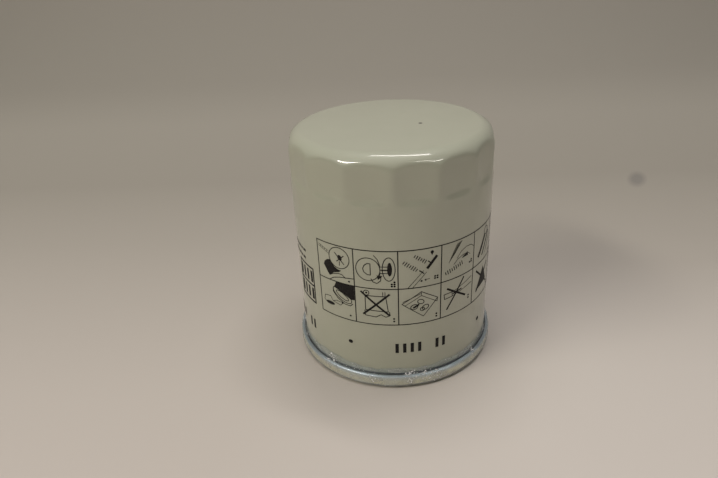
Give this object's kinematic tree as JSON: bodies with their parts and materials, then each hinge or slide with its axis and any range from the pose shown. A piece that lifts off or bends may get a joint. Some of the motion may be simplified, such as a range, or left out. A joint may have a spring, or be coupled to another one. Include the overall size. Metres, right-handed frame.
{
  "type": "oil filter",
  "caption": "Spin-on oil filter: painted can with wrench flats, zinc seam, gasket, threaded base plate, pleated element and sprung valves.",
  "frame": {"origin": "centre of the gasket's sealing face, which the filter stands on", "axes": "+Z along the filter's axis, from the gasket to the dome; -Y is the side with the pictogram grid and a corner of the wrench flats"},
  "size_m": [0.0806, 0.0805, 0.092],
  "materials": {
    "paint": "gloss warm white stoving paint",
    "zinc": "bright zinc plate with a faint blue passivation",
    "steel": "oiled pressed steel",
    "tinned": "tinplate with a light grain",
    "spring_steel": "oil-tempered drawn wire",
    "rubber": "moulded nitrile, satin",
    "silicone": "moulded silicone, matt",
    "paper": "resin-cured filter paper, fibrous",
    "plastisol": "cured plastisol, slightly glossy",
    "hot_melt": "hot-melt adhesive",
    "compound": "seaming compound",
    "film": "clear crinkled shrink film",
    "print_ink": "black screen-printed ink"
  },
  "bodies": {
    "case": {"can": "paint", "seaming_lid": "zinc", "seam_compound": "compound", "sealing_gasket": "rubber", "base_plate": "steel", "shrink_film": "film", "support_spring": "spring_steel"},
    "element": {"lower_end_cap": "tinned", "lower_potting": "plastisol", "pleated_paper": "paper", "pleat_clip": "tinned", "spacer_bead": "hot_melt", "centre_tube": "tinned", "upper_potting": "plastisol", "upper_end_cap": "tinned", "bypass_seat": "tinned", "bypass_cage": "tinned", "bypass_spring": "spring_steel"},
    "poppet": {"bypass_poppet": "steel", "bypass_seal": "rubber"},
    "membrane": {"check_membrane": "silicone"}
  },
  "joints": [
    {"name": "element_float", "type": "slide", "parent": "case", "child": "element", "axis": [0, 0, 1], "range_m": [0, 0.0015], "stiffness_N_per_m": 12000, "springref_m": -0.006, "deforming": ["support_spring"]},
    {"name": "bypass_open", "type": "slide", "parent": "element", "child": "poppet", "axis": [0, 0, -1], "range_m": [0, 0.004], "stiffness_N_per_m": 6000, "springref_m": -0.008, "deforming": ["bypass_spring"]},
    {"name": "membrane_lift", "type": "slide", "parent": "case", "child": "membrane", "axis": [0, 0, 1], "range_m": [0, 0.0015], "stiffness_N_per_m": 400, "springref_m": -0.002, "deforming": ["check_membrane"]}
  ]
}
